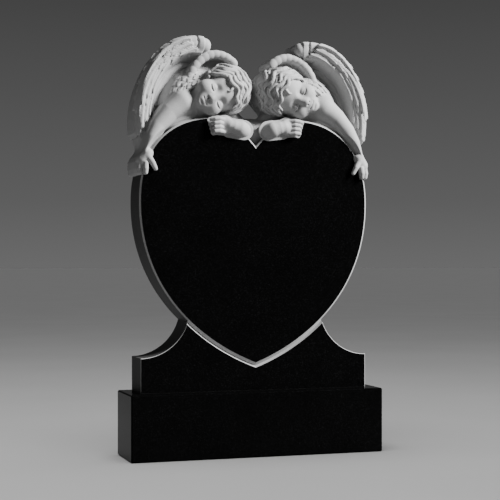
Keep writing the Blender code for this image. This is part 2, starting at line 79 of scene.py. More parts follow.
# Places of the stele in the frame
stele_low, stele_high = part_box("stele")
STELE_FOOT = stele_low.z
STELE_BACK = stele_high.y
STELE_FACE = STELE_BACK - STELE_THICKNESS
HEART_TIP = STELE_FOOT + HEART_TIP_LIFT
NOTCH_HEIGHT = HEART_TIP + NOTCH_LEVEL * HEART_HEIGHT

# Carving: its grid, in figure millimetres, its depth to the back of the stone, and its limit of triangles
FIGURE_WIDTH = 599.0
MILLIMETRE = HEART_WIDTH / FIGURE_WIDTH
BACK = STELE_THICKNESS / MILLIMETRE - 0.5
VOXEL = 1.25
SADDLE_VOXEL = 1.6
FAR = 6.0
CHERUB_TRIANGLES = 185000


# Materials

# Sockets of a colour mix: how much, the two colours, and the result
MIX_SHARE = 0
MIX_FIRST = 6
MIX_SECOND = 7
MIX_RESULT = 2


def node_adder(tree):
    """A function that adds a node to a tree, with settings and with inputs that are values or links."""

    def add(kind, settings=(), **inputs):
        node = tree.nodes.new(kind)
        for key, value in dict(settings).items():
            setattr(node, key, value)
        for key, value in inputs.items():
            socket = node.inputs[key.replace("_", " ")]
            if isinstance(value, bpy.types.NodeSocket):
                tree.links.new(value, socket)
            else:
                socket.default_value = value
        return node

    return add


def new_material(name):
    """An empty node material with its shader, and a function that adds a node to it."""
    material = bpy.data.materials.new(name)
    material.use_nodes = True
    tree = material.node_tree
    return material, tree, tree.nodes["Principled BSDF"], node_adder(tree)


def grey(level):
    """A grey as a colour."""
    return (level, level, level)


def ramp(add, value, stops):
    """A colour ramp over (place, colour) stops."""
    node = add("ShaderNodeValToRGB", Fac=value)
    elements = node.color_ramp.elements
    while len(elements) < len(stops):
        elements.new(0.5)
    for element, (place, colour) in zip(elements, stops):
        element.position = place
        element.color = (*colour, 1)
    return node.outputs["Color"]


def object_place(add):
    """Object coordinates, which are the stone's own, in metres."""
    return add("ShaderNodeTexCoord").outputs["Object"]


def multiplied(tree, add, first, second):
    """Two colours, one times the other."""
    mix = add("ShaderNodeMix", {"data_type": "RGBA", "blend_type": "MULTIPLY"})
    mix.inputs[MIX_SHARE].default_value = 1.0
    tree.links.new(first, mix.inputs[MIX_FIRST])
    tree.links.new(second, mix.inputs[MIX_SECOND])
    return mix.outputs[MIX_RESULT]


def vary_roughness(tree, add, shader, pattern, smoothest, roughest):
    """Roughness that follows a pattern between two limits."""
    spread = add("ShaderNodeMapRange", Value=pattern)
    spread.inputs["To Min"].default_value = smoothest
    spread.inputs["To Max"].default_value = roughest
    tree.links.new(spread.outputs["Result"], shader.inputs["Roughness"])


def polished_granite():
    """Mirror-polished black granite: near black, with fine grains just under the polish."""
    material, tree, shader, add = new_material("polished_black_granite")
    place = object_place(add)
    grains = add("ShaderNodeTexVoronoi", Vector=place, Scale=620.0)
    tones = ((0.0, grey(0.0008)), (0.72, grey(0.0018)), (1.0, (0.008, 0.008, 0.0086)))
    grain_tone = ramp(add, grains.outputs["Color"], tones)
    clouds = add("ShaderNodeTexNoise", Vector=place, Scale=9.0, Detail=4.0)
    cloud_tone = ramp(add, clouds.outputs["Fac"], ((0.3, grey(0.75)), (0.7, grey(1.0))))
    tree.links.new(multiplied(tree, add, grain_tone, cloud_tone), shader.inputs["Base Color"])
    smears = add("ShaderNodeTexNoise", Vector=place, Scale=26.0, Detail=5.0)
    vary_roughness(tree, add, shader, smears.outputs["Fac"], 0.05, 0.11)
    shader.inputs["Specular IOR Level"].default_value = 0.02
    return material


def matte_granite(name, dark, light):
    """The same granite left matte, between two greys, with darker grains and the tooth of the chisel."""
    material, tree, shader, add = new_material(name)
    place = object_place(add)
    grains = add("ShaderNodeTexVoronoi", Vector=place, Scale=520.0)
    tones = ((0.0, grey(0.86)), (0.55, grey(0.97)), (1.0, grey(1.0)))
    grain_tone = ramp(add, grains.outputs["Color"], tones)
    clouds = add("ShaderNodeTexNoise", Vector=place, Scale=14.0, Detail=6.0)
    cloud_tone = ramp(add, clouds.outputs["Fac"], ((0.25, grey(dark)), (0.75, grey(light))))
    tree.links.new(multiplied(tree, add, grain_tone, cloud_tone), shader.inputs["Base Color"])
    vary_roughness(tree, add, shader, clouds.outputs["Fac"], 0.55, 0.72)
    shader.inputs["Specular IOR Level"].default_value = 0.15
    tooth = add("ShaderNodeTexNoise", Vector=place, Scale=700.0, Detail=3.0)
    bump = add("ShaderNodeBump", Height=tooth.outputs["Fac"], Strength=0.25, Distance=0.0006)
    tree.links.new(bump.outputs["Normal"], shader.inputs["Normal"])
    return material


def floor_material():
    """Pale matte studio floor."""
    material, tree, shader, add = new_material("studio_floor")
    clouds = add("ShaderNodeTexNoise", Vector=object_place(add), Scale=1.5, Detail=3.0)
    tone = ramp(add, clouds.outputs["Fac"], ((0.3, grey(0.58)), (0.7, grey(0.61))))
    tree.links.new(tone, shader.inputs["Base Color"])
    shader.inputs["Roughness"].default_value = 0.85
    shader.inputs["Specular IOR Level"].default_value = 0.1
    return material


# Mesh helpers

def add_object(name, points, faces, materials):
    """A mesh object at the origin."""
    mesh = bpy.data.meshes.new(name)
    mesh.from_pydata([tuple(map(float, point)) for point in points], [], faces)
    for material in materials:
        mesh.materials.append(material)
    made = bpy.data.objects.new(name, mesh)
    bpy.context.scene.collection.objects.link(made)
    return made


def bake(made):
    """Applies an object's modifiers to its mesh."""
    graph = bpy.context.evaluated_depsgraph_get()
    mesh = bpy.data.meshes.new_from_object(made.evaluated_get(graph))
    made.modifiers.clear()
    made.data = mesh


def hand_over(piece):
    """A finished piece rides on the stone and stands for its solid."""
    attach(piece, "root")
    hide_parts("stele")


# Outline of the stone

def superellipse(share, height, fullness):
    """The height of a superellipse's arc at a share of its reach."""
    return height * (1 - share**fullness) ** (1 / fullness)


def right_half_heart(steps):
    """The polished face's edge as (x, z), from the tip up the right side and down into the notch."""
    half = HEART_WIDTH / 2
    widest = HEART_TIP + WIDEST_LEVEL * HEART_HEIGHT
    top = HEART_TIP + HEART_HEIGHT
    tip = np.array([0, HEART_TIP])
    tip_handle = tip + TIP_HANDLE * half * np.array([math.cos(TIP_SLOPE), math.sin(TIP_SLOPE)])
    side_handle = np.array([half, widest - SIDE_HANDLE * half])
    side = np.array([half, widest])
    points = []
    for t in np.linspace(0, 1, steps)[:-1]:
        points.append(
            (1 - t) ** 3 * tip
            + 3 * t * (1 - t) ** 2 * tip_handle
            + 3 * t * t * (1 - t) * side_handle
            + t**3 * side
        )
    peak = LOBE_OUT * half
    for angle in np.linspace(0, math.pi / 2, steps - FEWER_ON_LOBE)[:-1]:
        share = math.cos(angle) ** (2 / LOBE_FULLNESS)
        rise = superellipse(share, top - widest, LOBE_FULLNESS)
        points.append((peak + (half - peak) * share, widest + rise))
    notch_share = ((NOTCH_HEIGHT - widest) / (top - widest)) ** LOBE_INNER_FULLNESS
    reach = peak / (1 - notch_share) ** (1 / LOBE_INNER_FULLNESS)
    for x in np.linspace(peak, 0, steps // 3):
        rise = superellipse((peak - x) / reach, top - widest, LOBE_INNER_FULLNESS)
        points.append((x, widest + rise))
    return np.array(points)


def mitre(before, after):
    """The push that moves both edges at a corner outward by one."""
    total = before + after
    return 2 * total / (total**2).sum(axis=1)[:, None]


def edge_normals(line):
    """Outward normals of a counter-clockwise line's edges."""
    ahead = np.diff(line, axis=0)
    normals = np.stack([ahead[:, 1], -ahead[:, 0]], axis=1)
    return normals / np.linalg.norm(normals, axis=1)[:, None]


def offset(line, distance):
    """The half outline moved outward, its two ends kept on the middle of the stone by a mitre."""
    normals = edge_normals(line)
    moved = line.copy()
    moved[1:-1] += distance * mitre(normals[:-1], normals[1:])
    moved[0, 1] += distance / normals[0, 1]
    moved[-1, 1] += distance / normals[-1, 1]
    past_middle = np.flatnonzero(moved[1:-1, 0] < NOTCH_MARGIN) + 1
    if len(past_middle):
        last = past_middle[0] - 1
        share = np.linspace(0, 1, len(moved) - last)[:, None]
        moved[last:] = moved[last] + share * (moved[-1] - moved[last])
    return moved


def inset(outline, distance):
    """A closed outline moved inward."""
    normals = edge_normals(np.concatenate([outline, outline[:1]]))
    return outline - distance * mitre(np.roll(normals, 1, axis=0), normals)


def whole(half):
    """A closed outline from its right half, counter-clockwise, its ends on the middle."""
    left = half[-2:0:-1] * (-1, 1)
    return np.concatenate([half, left])


def slab_outline(heart):
    """The stele's outline: straight foot, hollow quarter rounds, and the heart from where they meet."""
    half = SHOULDER_WIDTH / 2
    top = STELE_FOOT + SHOULDER_HEIGHT
    hollow = np.array([half, top + SHOULDER_RADIUS])
    gap = np.linalg.norm(heart - hollow, axis=1) - SHOULDER_RADIUS
    first = int(np.argmax(gap < 0))
    share = gap[first - 1] / (gap[first - 1] - gap[first])
    meeting = heart[first - 1] + share * (heart[first] - heart[first - 1])
    sweep = math.asin((half - meeting[0]) / SHOULDER_RADIUS)
    points = [(0, STELE_FOOT), (half, STELE_FOOT)]
    for angle in np.linspace(0, sweep, SHOULDER_STEPS)[:-1]:
        across = half - SHOULDER_RADIUS * math.sin(angle)
        points.append((across, top + SHOULDER_RADIUS * (1 - math.cos(angle))))
    return whole(np.array([*points, meeting, *heart[first:]]))


def ring_faces(rows, count, closed_rows):
    """Quads between neighbouring rows of a ring."""
    faces = []
    for row in range(rows if closed_rows else rows - 1):
        a, b = row * count, (row + 1) % rows * count
        for i in range(count):
            j = (i + 1) % count
            faces.append([a + j, a + i, b + i, b + j])
    return faces


def groove_cutter(face):
    """A closed ring of V section that cuts the heart's sloping edge and the groove around its foot."""
    run_out = GROOVE_LIP * GROOVE_OUTER / GROOVE_DEPTH
    section = (
        (-GROOVE_LIP, -GROOVE_LIP),
        (GROOVE_DEPTH, GROOVE_DEPTH),
        (GROOVE_DEPTH + GROOVE_OUTER + run_out, -GROOVE_LIP),
    )
    points = []
    for distance, depth in section:
        points += [(x, STELE_FACE + depth, z) for x, z in whole(offset(face, distance))]
    faces = [face[::-1] for face in ring_faces(len(section), len(points) // len(section), True)]
    return add_object("groove_cutter", points, faces, [])


# How squarely a face looks forward or back: polished when flat, honed on the slopes of arris and groove
FLAT = 0.999
SLOPING = 0.1
# The third finish is for the sides: a dark grey that is painted shade.
POLISHED, HONED, SHADED_SIDE = range(3)


def make_slab(polished, honed, shaded_side):
    """Foot, shoulders and heart in one slab with an arris, polished on its faces, and on its sides a dark
    grey that is painted shade.
    """
    outline = slab_outline(offset(right_half_heart(HEART_STEPS), HEART_EDGE))
    within = inset(outline, ARRIS)
    rings = (
        (within, STELE_FACE),
        (outline, STELE_FACE + ARRIS),
        (outline, STELE_BACK - ARRIS),
        (within, STELE_BACK),
    )
    count = len(outline)
    points = [(x, y, z) for ring, y in rings for x, z in ring]
    faces = ring_faces(len(rings), count, False)
    faces.append(list(range(count)))
    faces.append(list(range(len(points) - 1, len(points) - count - 1, -1)))
    slab = add_object("stele_slab", points, faces, [polished, honed, shaded_side])
    cutter = groove_cutter(right_half_heart(GROOVE_STEPS))
    groove = slab.modifiers.new("groove", "BOOLEAN")
    groove.operation = "DIFFERENCE"
    groove.solver = "EXACT"
    groove.object = cutter
    bake(slab)
    bpy.data.objects.remove(cutter, do_unlink=True)
    for face in slab.data.polygons:
        facing = abs(face.normal.y)
        # Faces that look sideways get the dark grey of painted shade.
        face.material_index = POLISHED if facing > FLAT else HONED if facing > SLOPING else SHADED_SIDE
    slab.data.shade_smooth()
    slab.data.set_sharp_from_angle(angle=math.radians(25))
    hand_over(slab)


# Sculpting

def soft_min(a, b, soft):
    """The lesser of two distances, with the crease between them filled over a width."""
    if not soft:
        return np.minimum(a, b)
    near = np.maximum(soft - np.abs(a - b), 0) / soft
    return np.minimum(a, b) - near * near * soft / 4


def ball_distance(local, radii):
    """How far places, in an ellipsoid's own axes, are from its surface."""
    scaled = np.sqrt(sum((part / radius) ** 2 for part, radius in zip(local, radii)))
    steep = sum((part / radius**2) ** 2 for part, radius in zip(local, radii))
    return scaled * (scaled - 1) / np.sqrt(np.maximum(steep, 1e-9))


def along_axes(places, centre, axes):
    """Grid coordinates out, back and up as lengths along other axes, from a centre."""
    out, back, up = places
    return [
        (out - centre[0]) * axis[0] + (back - centre[1]) * axis[1] + (up - centre[2]) * axis[2]
        for axis in axes
    ]


class Clay:
    """A signed distance on a grid, negative inside the stone. Its axes are out, back and up."""

    def __init__(self, low, high, step):
        self.low = np.array(low, float)
        self.high = np.array(high, float)
        self.step = step
        counts = np.ceil((self.high - self.low) / step).astype(int) + 1
        self.field = np.full(counts, FAR, np.float32)

    def empty(self):
        """Another clay on the same grid, with nothing in it."""
        return Clay(self.low, self.high, self.step)

    def near(self, low, high):
        """The part of the grid in a box, and its coordinates."""
        first = np.floor((np.array(low) - self.low) / self.step).astype(int)
        last = np.ceil((np.array(high) - self.low) / self.step).astype(int) + 1
        first = np.clip(first, 0, self.field.shape)
        last = np.clip(last, 0, self.field.shape)
        where = tuple(slice(a, b) for a, b in zip(first, last))
        axes = [
            (self.low[i] + self.step * np.arange(first[i], last[i])).astype(np.float32)
            for i in range(3)
        ]
        return where, np.meshgrid(*axes, indexing="ij", sparse=True)

    def everywhere(self):
        """The coordinates of the whole grid."""
        return self.near(self.low, self.high)[1]

    def work(self, where, distance, soft, cut):
        """Adds or takes away a shape given by its distances."""
        field = self.field[where]
        if cut:
            self.field[where] = -soft_min(-field, distance, soft)
        else:
            self.field[where] = soft_min(field, distance, soft)

    def ball(self, centre, radii, axes=np.eye(3), soft=0.0, cut=False, wall=False):
        """An ellipsoid; with a wall its outline runs straight to the back of the stone."""
        centre, radii = np.array(centre, float), np.array(radii, float)
        reach = np.sqrt(((axes * radii[:, None]) ** 2).sum(axis=0)) + soft + FAR / 2
        high = centre + reach
        if wall:
            high[1] = BACK + FAR
        where, (out, back, up) = self.near(centre - reach, high)
        if wall:
            back = np.minimum(back, centre[1])
        local = along_axes((out, back, up), centre, axes)
        self.work(where, ball_distance(local, radii).astype(np.float32), soft, cut)

    def limb(self, points, soft=0.0, cut=False, wall=False):
        """A chain of tapering round rods through (out, back, up, radius) points."""
        points = np.array(points, float)
        reach = points[:, 3:] + soft + FAR / 2
        low = (points[:, :3] - reach).min(axis=0)
        high = (points[:, :3] + reach).max(axis=0)
        if wall:
            high[1] = BACK + FAR
        where, (out, back, up) = self.near(low, high)
        distance = None
        for a, b in zip(points, points[1:]):
            ahead = b - a
            length = max((ahead[:3] ** 2).sum(), 1e-9)
            if wall:
                across = ahead[0] * (out - a[0]) + ahead[2] * (up - a[2])
                share = np.clip(across / max(ahead[0] ** 2 + ahead[2] ** 2, 1e-9), 0, 1)
                deep = np.minimum(back - a[1] - share * ahead[1], 0)
            else:
                along = ahead[0] * (out - a[0]) + ahead[1] * (back - a[1]) + ahead[2] * (up - a[2])
                share = np.clip(along / length, 0, 1)
                deep = back - a[1] - share * ahead[1]
            gap = (out - a[0] - share * ahead[0]) ** 2 + deep**2 + (up - a[2] - share * ahead[2]) ** 2
            rod = np.sqrt(gap) - (a[3] + share * ahead[3])
            distance = rod if distance is None else np.minimum(distance, rod)
        self.work(where, distance.astype(np.float32), soft, cut)

    def cut_back(self):
        """Cuts the clay flat at the back of the stone."""
        self.field = np.maximum(self.field, self.everywhere()[1] - BACK)

    def mesh(self):
        """Points and quads of the surface, in figure millimetres."""
        grid = openvdb.FloatGrid(background=FAR)
        grid.copyFromArray(np.clip(self.field, -FAR, FAR).astype(np.float32), tolerance=0.0)
        points, quads = grid.convertToQuads(isovalue=0.0)
        return points * self.step + self.low, quads


def smooth_path(points, count):
    """Points along a smooth curve through the given ones."""
    points = np.array(points, float)
    ends = np.concatenate([[2 * points[0] - points[1]], points, [2 * points[-1] - points[-2]]])
    found = []
    for place in np.linspace(0, len(points) - 1.0001, count):
        i = int(place)
        t = place - i
        a, b, c, d = ends[i : i + 4]
        found.append(
            0.5 * (2 * b + (c - a) * t + (2 * a - 5 * b + 4 * c - d) * t**2)
            + 0.5 * (3 * b - a - 3 * c + d) * t**3
        )
    return np.array(found)


# Head: its middle, how far it leans to the middle of the stone, and how far it looks down
HEAD = np.array([84.0, 22.0, 145.0])
HEAD_ROLL = math.radians(68.4)
HEAD_TURN = math.radians(9)


def head_axes():
    """Side, forward and crown directions of the head."""
    crown = np.array([-math.sin(HEAD_ROLL), 0, math.cos(HEAD_ROLL)])
    side = np.array([math.cos(HEAD_ROLL), 0, math.sin(HEAD_ROLL)])
    forward = np.array([0, -1.0, 0])
    turned = math.cos(HEAD_TURN) * forward - math.sin(HEAD_TURN) * side
    side = math.cos(HEAD_TURN) * side + math.sin(HEAD_TURN) * forward
    return np.array([side, turned, crown])


HEAD_AXES = head_axes()


def on_head(side, forward, crown, radius=None):
    """A place on the head, with a radius after it where one is given."""
    place = HEAD + np.array([side, forward, crown]) @ HEAD_AXES
    return place if radius is None else np.append(place, radius)


# Skull and features: each a place beside, forward and up from the head's middle, and radii along its axes
CRANIUM = ((0, -6, 10), (57, 52, 60))
FOREHEAD = ((0, 18, 0), (44, 33, 34))
JAW = ((0, 10, -34), (44, 40, 49))
CHEEK = ((23, 27, -47), (21, 20, 20))
CHIN = ((0, 33, -76), (13, 12, 10))
SOCKET = ((21, 58.5, -27), (16, 15.5, 12))
EYE = ((21.0, 33.0, -31.0), (14.5, 13.5, 12.0))
NOSE_WING = ((7.2, 45.5, -49.5), (4.8, 6, 4.8))
NOSTRIL = ((4, 51, -55.2), (2.5, 3.4, 2))
MUZZLE = ((0, 36, -65), (19, 11.5, 13))
UPPER_LIP = ((0, 45.2, -62.4), (10.5, 3.5, 3.1))
LOWER_LIP = ((0, 44.8, -68.6), (8.5, 4, 3.6))
CHIN_CREASE = ((0, 48, -75.5), (8, 3, 2.6))

# Lines of the face, as places on the head with a radius
NOSE = ((0, 42, -20, 5.5), (0, 44.5, -38, 5.8), (0, 49.5, -47.5, 6.6))
MOUTH = ((-11, 46.4, -65.2, 0.8), (-4, 49.8, -65.7, 1.1), (4, 49.8, -65.7, 1.1), (11, 46.4, -65.2, 0.8))

# Lines of the closed lids: level, droop in the middle, reach to each side, lift off the eyeball, and radius
LID_RIM = (-31.6, 4.5, 0.76, 0.1, 1.9)
LID_CREASE = (-34.6, 4.5, 0.76, 1.3, 1.4)


def front_at(side, crown, over=0.0):
    """How far forward the skull is, with a layer over it, at a place beside its middle."""
    found = CRANIUM[0][1]
    for centre, radii in (CRANIUM, FOREHEAD, JAW):
        beside_it = (side - centre[0]) / (radii[0] + over)
        above = (crown - centre[2]) / (radii[2] + over)
        rest = 1 - beside_it**2 - above**2
        if rest > 0:
            found = max(found, centre[1] + (radii[1] + over) * math.sqrt(rest))
    return found


def head_ball(clay, part, side=1, **how):
    """A round part of the head, on one side of the nose."""
    (beside_nose, forward, crown), radii = part
    clay.ball(on_head(side * beside_nose, forward, crown), radii, HEAD_AXES, **how)


def carve_skull(clay):
    """Cranium, forehead, cheeks and chin."""
    head_ball(clay, CRANIUM, wall=True)
    head_ball(clay, JAW, soft=14)
    head_ball(clay, FOREHEAD, soft=10)
    for side in (-1, 1):
        head_ball(clay, CHEEK, side, soft=10)
    head_ball(clay, CHIN, soft=9)


def lid_line(side, level, droop, reach, lift, radius):
    """Points on the closed eye, from the nose's side out."""
    eye, radii = EYE
    points = []
    for t in np.linspace(-reach, reach, 9):
        crown = level - droop * (reach * reach - t * t)
        swell = 1 - t * t - ((crown - eye[2]) / radii[2]) ** 2
        forward = eye[1] + radii[1] * math.sqrt(max(swell, 0.0))
        taper = 1 - 0.5 * (t / reach) ** 2
        points.append(on_head(side * (eye[0] + radii[0] * t), forward + lift, crown, radius * taper))
    return points


def carve_face(clay):
    """A plain sleeping child's face: closed lids, a short nose and full lips."""
    for side in (-1, 1):
        head_ball(clay, SOCKET, side, soft=8, cut=True)
        head_ball(clay, EYE, side, soft=1.2)
        clay.limb(lid_line(side, *LID_RIM), soft=1.2)
        clay.limb(lid_line(side, *LID_CREASE), soft=1.5, cut=True)
    clay.limb([on_head(*place) for place in NOSE], soft=9)
    for side in (-1, 1):
        head_ball(clay, NOSE_WING, side, soft=4)
        head_ball(clay, NOSTRIL, side, soft=2.5, cut=True)
    head_ball(clay, MUZZLE, soft=9)
    head_ball(clay, UPPER_LIP, soft=2)
    head_ball(clay, LOWER_LIP, soft=1)
    clay.limb([on_head(*place) for place in MOUTH], soft=2, cut=True)
    head_ball(clay, CHIN_CREASE, soft=3, cut=True)


# Hair: the skull made thicker behind the hairline, in wavy locks that fan out from the parting.
# Both rings round the face are a middle's crown and two radii, the span is the way between them, the
# slope keeps the hair off the face, and a box from low to high round the head's middle holds the hair.
HAIRLINE = (-18.0, 50.0, 34.0)
HAIR_RIM = (8.0, 64.0, 69.0)
HAIR_SLOPE = 0.95
HAIR_REACH = 41.0
HAIR_THICKNESS = 3.0
HAIR_SPAN = 34.0
HAIR_LOW = (86, 62, 86)
HAIR_HIGH = (86, 90, 86)
LOCKS = 5.6
LOCK_HEIGHT = 3.4
STRANDS = 3
STRAND_HEIGHT = 1.6
UNEVEN = 1.2
PARTING = math.radians(-24)
PARTING_SHARE = 0.75
FAN = math.radians(75)
NARROWEST_FAN = 0.32
HALVINGS = 9

# Loose locks over it: their rings from hairline to rim, places round the face, and widths
LOOSE_RINGS = 5
LOOSE_PLACES = 3
LOOSE_WIDTH = 6.4
PARTING_WIDTH = 7
CURL_WIDTH = 5.2


def hair_ring(share):
    """The middle's crown and the two radii of the ellipse at a share of the way from hairline to rim."""
    return [a + share * (b - a) for a, b in zip(HAIRLINE, HAIR_RIM)]


def on_hair(angle, share, lift):
    """A place on the hair, at an angle round the face and a share of the way from hairline to rim."""
    middle, beside_it, above = hair_ring(share)
    side = beside_it * math.cos(angle)
    crown = middle + above * math.sin(angle)
    return np.array([side, front_at(side, crown, 7.0) + lift, crown])


def hair_place(side, crown):
    """The share of the way from hairline to rim, found by halving, and the angle round the face."""
    low, high = np.full(side.shape, -0.4), np.full(side.shape, 1.6)
    for _ in range(HALVINGS):
        share = (low + high) / 2
        middle, beside_it, above = hair_ring(share)
        outside = np.hypot(side / beside_it, (crown - middle) / above) > 1
        low, high = np.where(outside, share, low), np.where(outside, high, share)
    angle = np.arctan2((crown - middle) / above, side / beside_it)
    return share, np.where(angle < -math.pi / 2, angle + 2 * math.pi, angle)


def carve_hair(clay):
    """The mass of the hair, in locks of three strands each with deep partings between them."""
    where, places = clay.near(HEAD - HAIR_LOW, HEAD + HAIR_HIGH)
    out, back, up = places
    side, forward, crown = along_axes(places, HEAD, HEAD_AXES)
    walled = (out, np.minimum(back, on_head(*CRANIUM[0])[1]), up)
    flat = along_axes(walled, HEAD, HEAD_AXES)
    skull, brow = [
        ball_distance([a - b for a, b in zip(flat, centre)], radii)
        for centre, radii in (CRANIUM, FOREHEAD)
    ]
    scalp = soft_min(skull, brow, 10)
    share, angle = hair_place(side, crown)
    run = 0.55 * share + (44 - forward) / 100
    fan = np.clip((angle - PARTING) / FAN, NARROWEST_FAN, 1)
    fan = fan * (2 - fan)
    stream = PARTING_SHARE + (run - PARTING_SHARE) / fan
    wave = 0.5 * np.sin(4.5 * angle + 1.5 * stream) + 0.2 * np.sin(9 * angle + 4 * stream)
    lane = LOCKS * stream + wave
    within = np.mod(lane, 1)
    pillow = np.sqrt(np.maximum(1 - (2 * within - 1) ** 2, 0))
    strands = np.abs(np.sin(STRANDS * np.pi * within))
    uneven = UNEVEN * np.sin(5.3 * np.floor(lane) + 2.5 * angle)
    height = pillow * (LOCK_HEIGHT + STRAND_HEIGHT * strands + uneven)
    thin = np.clip(share / 0.25, 0.3, 1)
    overhang = np.clip((math.radians(70) - angle) / math.radians(40), 0, 1)
    hair = scalp - (HAIR_THICKNESS + height) * (thin + (1 - thin) * overhang)
    tips = 0.06 - 0.25 * pillow * (1 - fan) - 0.07 * pillow
    off_face = (forward - HAIR_SLOPE * crown - HAIR_REACH) / math.hypot(1, HAIR_SLOPE)
    hairline = np.maximum((tips - share) * HAIR_SPAN, off_face)
    hair = -soft_min(-hair, -hairline, 3)
    clay.work(where, hair.astype(np.float32), 1.0, False)


def lay_lock(clay, places, width):
    """A lock of hair through head places: a body that tapers to its tip, with strands along it."""
    path = np.array([on_head(*place) for place in places])
    t = np.linspace(0, 1, len(path))
    size = np.sin(np.pi * (0.18 + 0.80 * t)) ** 0.7
    ahead = np.gradient(path, axis=0)
    outward = path - (HEAD + np.array([0, 20.0, 0]))
    beside = np.cross(ahead, outward)
    beside /= np.linalg.norm(beside, axis=1)[:, None]
    outward /= np.linalg.norm(outward, axis=1)[:, None]
    body = np.concatenate([path, (0.72 * width * size + 0.4)[:, None]], axis=1)
    clay.limb(body, soft=1.0)
    for k in range(STRANDS):
        place = (k - (STRANDS - 1) / 2) * 1.15 * width / STRANDS
        lift = 0.42 * width - 0.25 * abs(place)
        line = path + beside * (place * size * (1 - 0.5 * t))[:, None] + outward * (lift * size)[:, None]
        clay.limb(np.concatenate([line, (0.36 * width * size + 0.35)[:, None]], axis=1), soft=0.4)


def carve_locks(clay):
    """Loose locks over the mass of the hair, from the upper temple round to the nape."""
    for ring in range(LOOSE_RINGS):
        for place in range(LOOSE_PLACES):
            start = math.radians(-20 + 58 * place + 20 * (ring % 3))
            length = math.radians(62 + 8 * math.sin(2.3 * ring + 1.9 * place))
            places = []
            for t in np.linspace(0, 1, 12):
                wave = 0.08 * math.sin(2.8 * math.pi * t + 1.7 * ring + place)
                share = 0.12 + 0.205 * ring + wave - 0.06 * t
                places.append(on_hair(start + length * t, share, -2.0 + 4.0 * t))
            lay_lock(clay, places, LOOSE_WIDTH)
    beside_parting = [on_hair(PARTING + 0.1, share, -1.0) for share in np.linspace(0.35, 0.95, 9)]
    lay_lock(clay, beside_parting, PARTING_WIDTH)


# Free locks over the upper temple, at both cheeks, and the curl on the forehead, as (side, crown)
CURLS = (
    ((60, 8), (56, -1), (51, -12), (49, -22)),
    ((58, 16), (53, 9), (47, 0), (42, -9)),
    ((59, -6), (55, -18), (47, -28), (40, -31)),
    ((59, -16), (54, -29), (48, -39), (45, -48)),
    ((4, 22), (-8, 22), (-20, 20), (-31, 13)),
    ((-14, 26), (-28, 24), (-40, 15), (-48, 4)),
    ((-34, 26), (-46, 17), (-53, 4), (-56, -10)),
    ((-46, 18), (-55, 5), (-59, -8), (-58, -24)),
    ((24, 32), (16, 26), (9, 18), (4, 10), (1, 3), (4, -2)),
)


def carve_curls(clay):
    """The free locks, each from a sunk root to a tip that stands off the skin."""
    for places in CURLS:
        lifts = (-2.5, 1.2, *[2.2] * (len(places) - 2))
        path = [(side, front_at(side, crown) + lift, crown) for (side, crown), lift in zip(places, lifts)]
        lay_lock(clay, smooth_path(path, 14), CURL_WIDTH)


# Body: round parts as a place (out, back, up) and radii, and limbs as (out, back, up, radius)
CHEST = ((192, 52, 66), (66, 46, 54))
SHOULDER = ((186, 20, 112), (31, 32, 30))
NECK = ((116, 52, 92, 32), (160, 58, 90, 34))
BED = ((60, 52, 92, 20), (17, 55, 65, 13))

# Outer arm, from the shoulder over the heart's edge
ARM = ((190, 16, 112, 30), (222, 14, 88, 25), (252, 12, 54, 21.5), (269, 6, 22, 18), (281, 2, -14, 13))
HAND = ((283, 2, -20, 14), (292, 8, -36, 17), (292, 10, -48, 14))
THUMB = ((282, -4, -26, 8), (272, -8, -42, 7), (264, -7, -57, 5.4))
FINGERS = (
    ((288, -5, -44, 7), (289, -8, -57, 6.6), (289, -7, -67, 5.6)),
    ((300, 5, -42, 7.5), (302, 2, -57, 7), (301, 2, -67, 5.8)),
    ((304, 22, -40, 7.5), (305, 20, -55, 7), (304, 20, -66, 5.8)),
    ((303, 40, -38, 7.5), (304, 39, -52, 7), (303, 39, -62, 5.8)),
)

# Inner arm, folded under the cheek
FOREARM = ((70, 26, 50, 20), (33, 10, 46, 21), (44, -3, 49, 20), (60, -6, 54, 16.5), (72, -7, 57, 14))
PALM = ((84, -5, 57), (20, 10, 22))
INNER_FINGERS = 4
FINGER_TOP = 71.0
FINGER_SPACING = 10.4


def carve_torso(clay):
    """Chest, neck and shoulder, lying on the heart."""
    clay.ball(*CHEST, soft=6, wall=True)
    clay.limb(NECK, soft=14, wall=True)
    clay.ball(*SHOULDER, soft=12, wall=True)
    clay.limb(ARM, soft=5, wall=True)


def carve_bed(clay):
    """The stone that fills the corner under the hair, down to the middle of the ledge."""
    clay.limb(BED, soft=8)


def carve_outer_hand(clay):
    """The hand that closes round the side of the stone."""
    clay.limb(HAND, soft=6, wall=True)
    clay.limb(THUMB, soft=3)
    for finger in FINGERS:
        clay.limb(finger, soft=1.2, wall=True)


def carve_inner_arm(clay):
    """The forearm and hand that the cheek rests on."""
    clay.limb(FOREARM, soft=8)
    clay.ball(*PALM, soft=6)
    for i in range(INNER_FINGERS):
        up = FINGER_TOP - FINGER_SPACING * i
        tip = 122 - 3.2 * i
        finger = [(88, -8, up, 5.6), (101, -14, up + 1, 5.7), (112, -14, up, 5.1), (tip, -9, up - 2, 4.4)]
        clay.limb(finger, soft=0.8)


# Wing, in ellipses round a middle: its rim and foot, and the section from the middle out to the rim
WING_MIDDLE = (150.0, 81.0)
WING_RADII = (161.0, 208.0)
WING_FOOT = -20.0
RIM = 0.965
SECTION_AT = (0.0, 0.36, 0.48, 0.60, 0.68, 0.77, 0.93, 1.0, 1.3)
SECTION_BACK = (18.0, 18.0, 30.0, 60.0, 54.0, 17.0, 10.0, 24.0, 80.0)
BEHIND_HEAD = ((100, 56, 140), (74, 12, 90))

